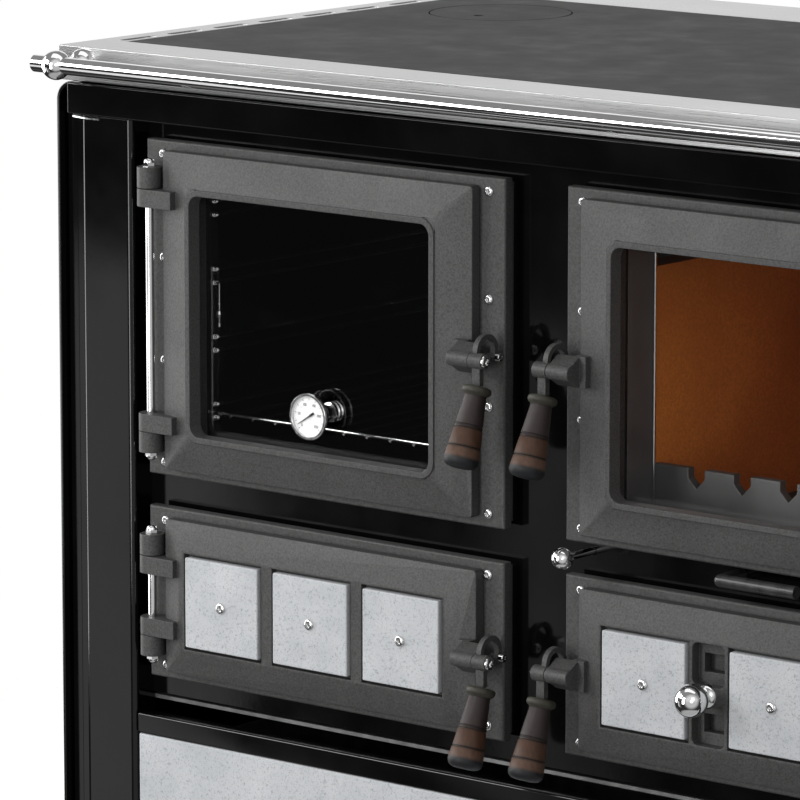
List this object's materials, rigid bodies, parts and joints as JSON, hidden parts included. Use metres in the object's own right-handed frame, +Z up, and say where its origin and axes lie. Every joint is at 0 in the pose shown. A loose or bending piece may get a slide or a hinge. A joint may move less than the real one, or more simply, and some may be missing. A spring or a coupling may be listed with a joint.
{
  "type": "wood cookstove",
  "caption": "Wood-fired cookstove: steel casing and hob, glazed oven and fire doors, tiled warming and ash doors, hinged latch handles, towel rail and a stone-faced drawer.",
  "frame": {"origin": "on the floor, in the middle of the overall box", "axes": "+X to the right seen from the front, +Y to the back, +Z up; the doors face -Y"},
  "size_m": [0.917, 0.7112, 0.8502],
  "materials": {
    "black_enamel": "gloss black enamel",
    "plain_sheet": "dark grey painted sheet",
    "firebox_steel": "heat-proof matt grey",
    "stainless": "brushed",
    "hob_steel": "ground dark steel",
    "chrome": "polished",
    "bright_steel": "satin",
    "cast_iron": "satin heat-proof paint on sand-cast iron",
    "shaker_steel": "satin dark grey",
    "soapstone": "honed, speckled",
    "firebrick": "rough buff",
    "glass": "clear heat-proof",
    "rope": "woven rope",
    "wood": "dark oiled",
    "needle_paint": "matt black"
  },
  "bodies": {
    "stove": {"ash_box": "plain_sheet", "ash_frame": "cast_iron", "ash_pan": "plain_sheet", "back_panel": "plain_sheet", "base_tray": "black_enamel", "corner_pillars": "black_enamel", "drawer_runners": "plain_sheet", "fire_frame": "cast_iron", "firebox_shell": "firebox_steel", "firebricks": "firebrick", "flue_collar": "plain_sheet", "frame_screws": "bright_steel", "front_panel": "black_enamel", "hinge_nuts": "bright_steel", "hinge_pins": "chrome", "hob_frame": "stainless", "hob_plate": "hob_steel", "hob_rail": "chrome", "levelling_feet": "bright_steel", "log_guard": "firebox_steel", "lower_frame": "cast_iron", "mid_plate": "plain_sheet", "oven_box": "black_enamel", "oven_frame": "cast_iron", "oven_rack": "bright_steel", "oven_shelf_supports": "bright_steel", "rail_brackets": "chrome", "side_panels": "black_enamel", "top_fascia": "black_enamel", "warming_box": "black_enamel"},
    "oven_door": {"oven_door_leaf": "cast_iron", "oven_glass": "glass", "oven_gasket": "rope", "thermometer_case": "bright_steel"},
    "thermometer_pointer": {"thermometer_needle": "needle_paint"},
    "lower_door": {"lower_door_leaf": "cast_iron", "lower_tiles": "soapstone", "lower_tile_screws": "bright_steel"},
    "fire_door": {"fire_door_leaf": "cast_iron", "fire_glass": "glass", "fire_gasket": "rope"},
    "ash_door": {"ash_door_leaf": "cast_iron", "ash_tiles": "soapstone", "ash_tile_screws": "bright_steel"},
    "air_valve": {"air_knob": "chrome"},
    "damper": {"damper_rod": "chrome"},
    "shaker": {"shaker_rod": "shaker_steel", "fire_grate": "cast_iron"},
    "drawer": {"drawer_front": "black_enamel", "drawer_box": "plain_sheet", "drawer_stone": "soapstone"},
    "cover": {"flue_cover": "hob_steel"},
    "oven_handle": {"oven_lever": "cast_iron", "oven_grip": "wood"},
    "lower_handle": {"lower_lever": "cast_iron", "lower_grip": "wood"},
    "fire_handle": {"fire_lever": "cast_iron", "fire_grip": "wood"},
    "ash_handle": {"ash_lever": "cast_iron", "ash_grip": "wood"}
  },
  "joints": [
    {"name": "oven_door_hinge", "type": "hinge", "parent": "stove", "child": "oven_door", "pos_m": [-0.3517, -0.30492, 0.64625], "axis": [0, 0, -1], "range_deg": [0, 110]},
    {"name": "oven_handle_turn", "type": "hinge", "parent": "oven_door", "child": "oven_handle", "pos_m": [-0.0225, -0.32242, 0.645], "axis": [-1, 0, 0], "range_deg": [0, 65]},
    {"name": "lower_door_hinge", "type": "hinge", "parent": "stove", "child": "lower_door", "pos_m": [-0.3517, -0.30492, 0.41375], "axis": [0, 0, -1], "range_deg": [0, 110]},
    {"name": "lower_handle_turn", "type": "hinge", "parent": "lower_door", "child": "lower_handle", "pos_m": [-0.018, -0.32242, 0.411], "axis": [-1, 0, 0], "range_deg": [0, 65]},
    {"name": "fire_door_hinge", "type": "hinge", "parent": "stove", "child": "fire_door", "pos_m": [0.3517, -0.30492, 0.64625], "axis": [0, 0, 1], "range_deg": [0, 110]},
    {"name": "fire_handle_turn", "type": "hinge", "parent": "fire_door", "child": "fire_handle", "pos_m": [0.082, -0.32242, 0.645], "axis": [-1, 0, 0], "range_deg": [0, 65]},
    {"name": "ash_door_hinge", "type": "hinge", "parent": "stove", "child": "ash_door", "pos_m": [0.3517, -0.30492, 0.41375], "axis": [0, 0, 1], "range_deg": [0, 110]},
    {"name": "ash_handle_turn", "type": "hinge", "parent": "ash_door", "child": "ash_handle", "pos_m": [0.082, -0.32242, 0.411], "axis": [-1, 0, 0], "range_deg": [0, 65]},
    {"name": "pointer_turn", "type": "hinge", "parent": "oven_door", "child": "thermometer_pointer", "pos_m": [-0.1805, -0.31192, 0.5795], "axis": [0, 1, 0], "range_deg": [0, 250]},
    {"name": "air_valve_turn", "type": "hinge", "parent": "ash_door", "child": "air_valve", "pos_m": [0.21025, -0.31192, 0.41375], "axis": [0, 1, 0], "range_deg": [0, 90]},
    {"name": "damper_pull", "type": "slide", "parent": "stove", "child": "damper", "axis": [0, -1, 0], "range_m": [0, 0.06]},
    {"name": "shaker_pull", "type": "slide", "parent": "stove", "child": "shaker", "axis": [0, -1, 0], "range_m": [0, 0.03]},
    {"name": "drawer_slide", "type": "slide", "parent": "stove", "child": "drawer", "axis": [0, -1, 0], "range_m": [0, 0.38]},
    {"name": "cover_lift", "type": "slide", "parent": "stove", "child": "cover", "axis": [0, 0, 1], "range_m": [0, 0.12]}
  ]
}
